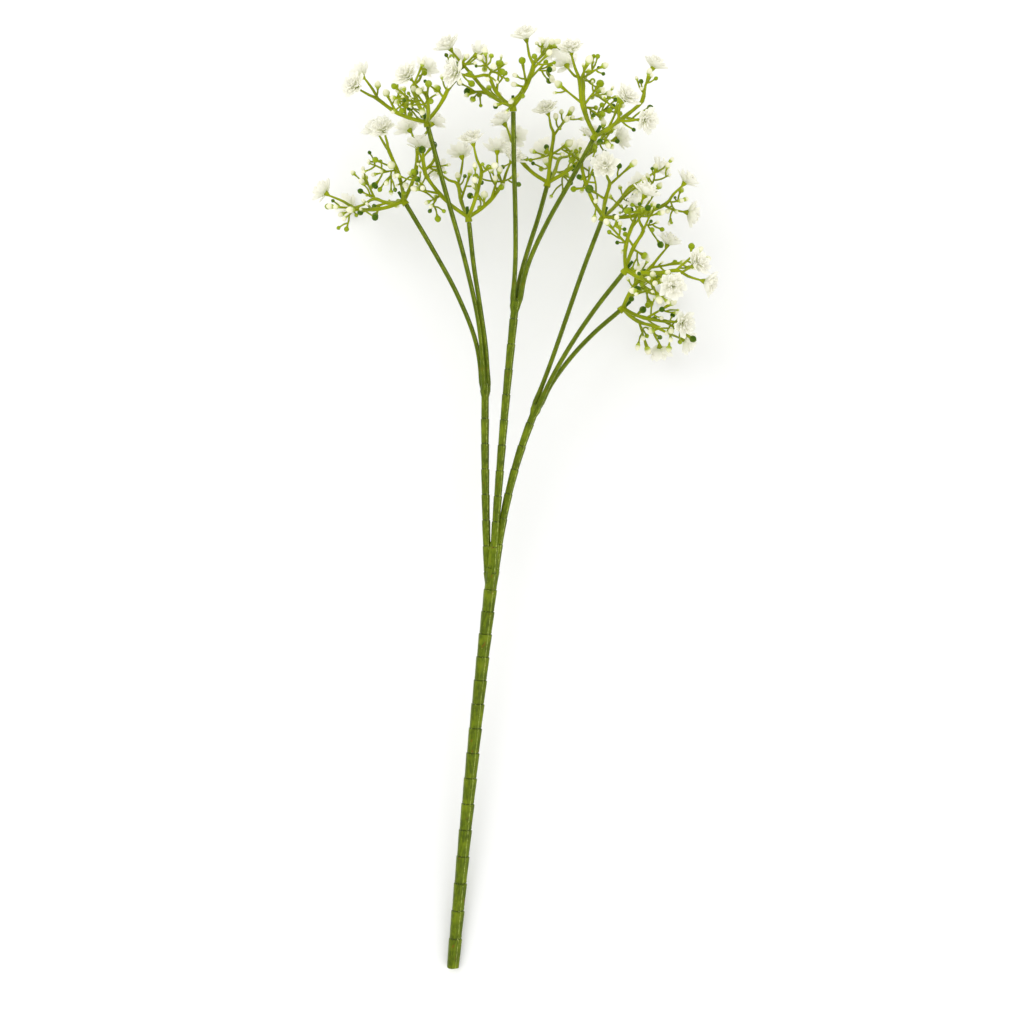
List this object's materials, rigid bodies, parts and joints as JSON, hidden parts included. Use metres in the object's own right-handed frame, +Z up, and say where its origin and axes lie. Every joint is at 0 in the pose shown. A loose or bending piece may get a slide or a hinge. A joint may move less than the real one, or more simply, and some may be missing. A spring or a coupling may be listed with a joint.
{
  "type": "gypsophila stem",
  "caption": "Stem of gypsophila (baby's breath) as cut, lying down: a jointed green stem that branches into thin stems with lime green sprays of white double blooms and buds.",
  "frame": {"origin": "on the surface that the stem lies on, below the middle of its box", "axes": "+Y from the cut end towards the blooms, +Z up from the surface that it lies on"},
  "size_m": [0.234, 0.5477, 0.1409],
  "materials": {
    "stem_green": "satin moulded green, olive, a little darker at the joints",
    "spray_green": "satin lime green, buds from cream to dark green",
    "petal_white": "matt thin cloth petals, warm white, cream green in the middle"
  },
  "bodies": {
    "root": {"main_stem": "stem_green", "spray_1": "spray_green", "spray_2": "spray_green", "spray_3": "spray_green", "spray_4": "spray_green", "spray_5": "spray_green", "spray_6": "spray_green", "spray_7": "spray_green", "spray_8": "spray_green", "spray_9": "spray_green", "bloom_01": "petal_white", "bloom_02": "petal_white", "bloom_03": "petal_white", "bloom_04": "petal_white", "bloom_05": "petal_white", "bloom_06": "petal_white", "bloom_07": "petal_white", "bloom_08": "petal_white", "bloom_09": "petal_white", "bloom_10": "petal_white", "bloom_11": "petal_white", "bloom_12": "petal_white", "bloom_13": "petal_white", "bloom_14": "petal_white", "bloom_15": "petal_white", "bloom_16": "petal_white", "bloom_17": "petal_white", "bloom_18": "petal_white", "bloom_19": "petal_white", "bloom_20": "petal_white", "bloom_21": "petal_white", "bloom_22": "petal_white", "bloom_23": "petal_white", "bloom_24": "petal_white", "bloom_25": "petal_white", "bloom_26": "petal_white", "bloom_27": "petal_white", "bloom_28": "petal_white", "bloom_29": "petal_white", "bloom_30": "petal_white", "bloom_31": "petal_white", "bloom_32": "petal_white", "bloom_33": "petal_white", "bloom_34": "petal_white", "bloom_35": "petal_white", "bloom_36": "petal_white", "bloom_37": "petal_white", "bloom_38": "petal_white", "bloom_39": "petal_white", "bloom_40": "petal_white", "bloom_41": "petal_white", "bloom_42": "petal_white", "bloom_43": "petal_white", "bloom_44": "petal_white", "bloom_45": "petal_white", "bloom_46": "petal_white", "bloom_47": "petal_white", "bloom_48": "petal_white", "bloom_49": "petal_white", "bloom_50": "petal_white"}
  },
  "joints": []
}
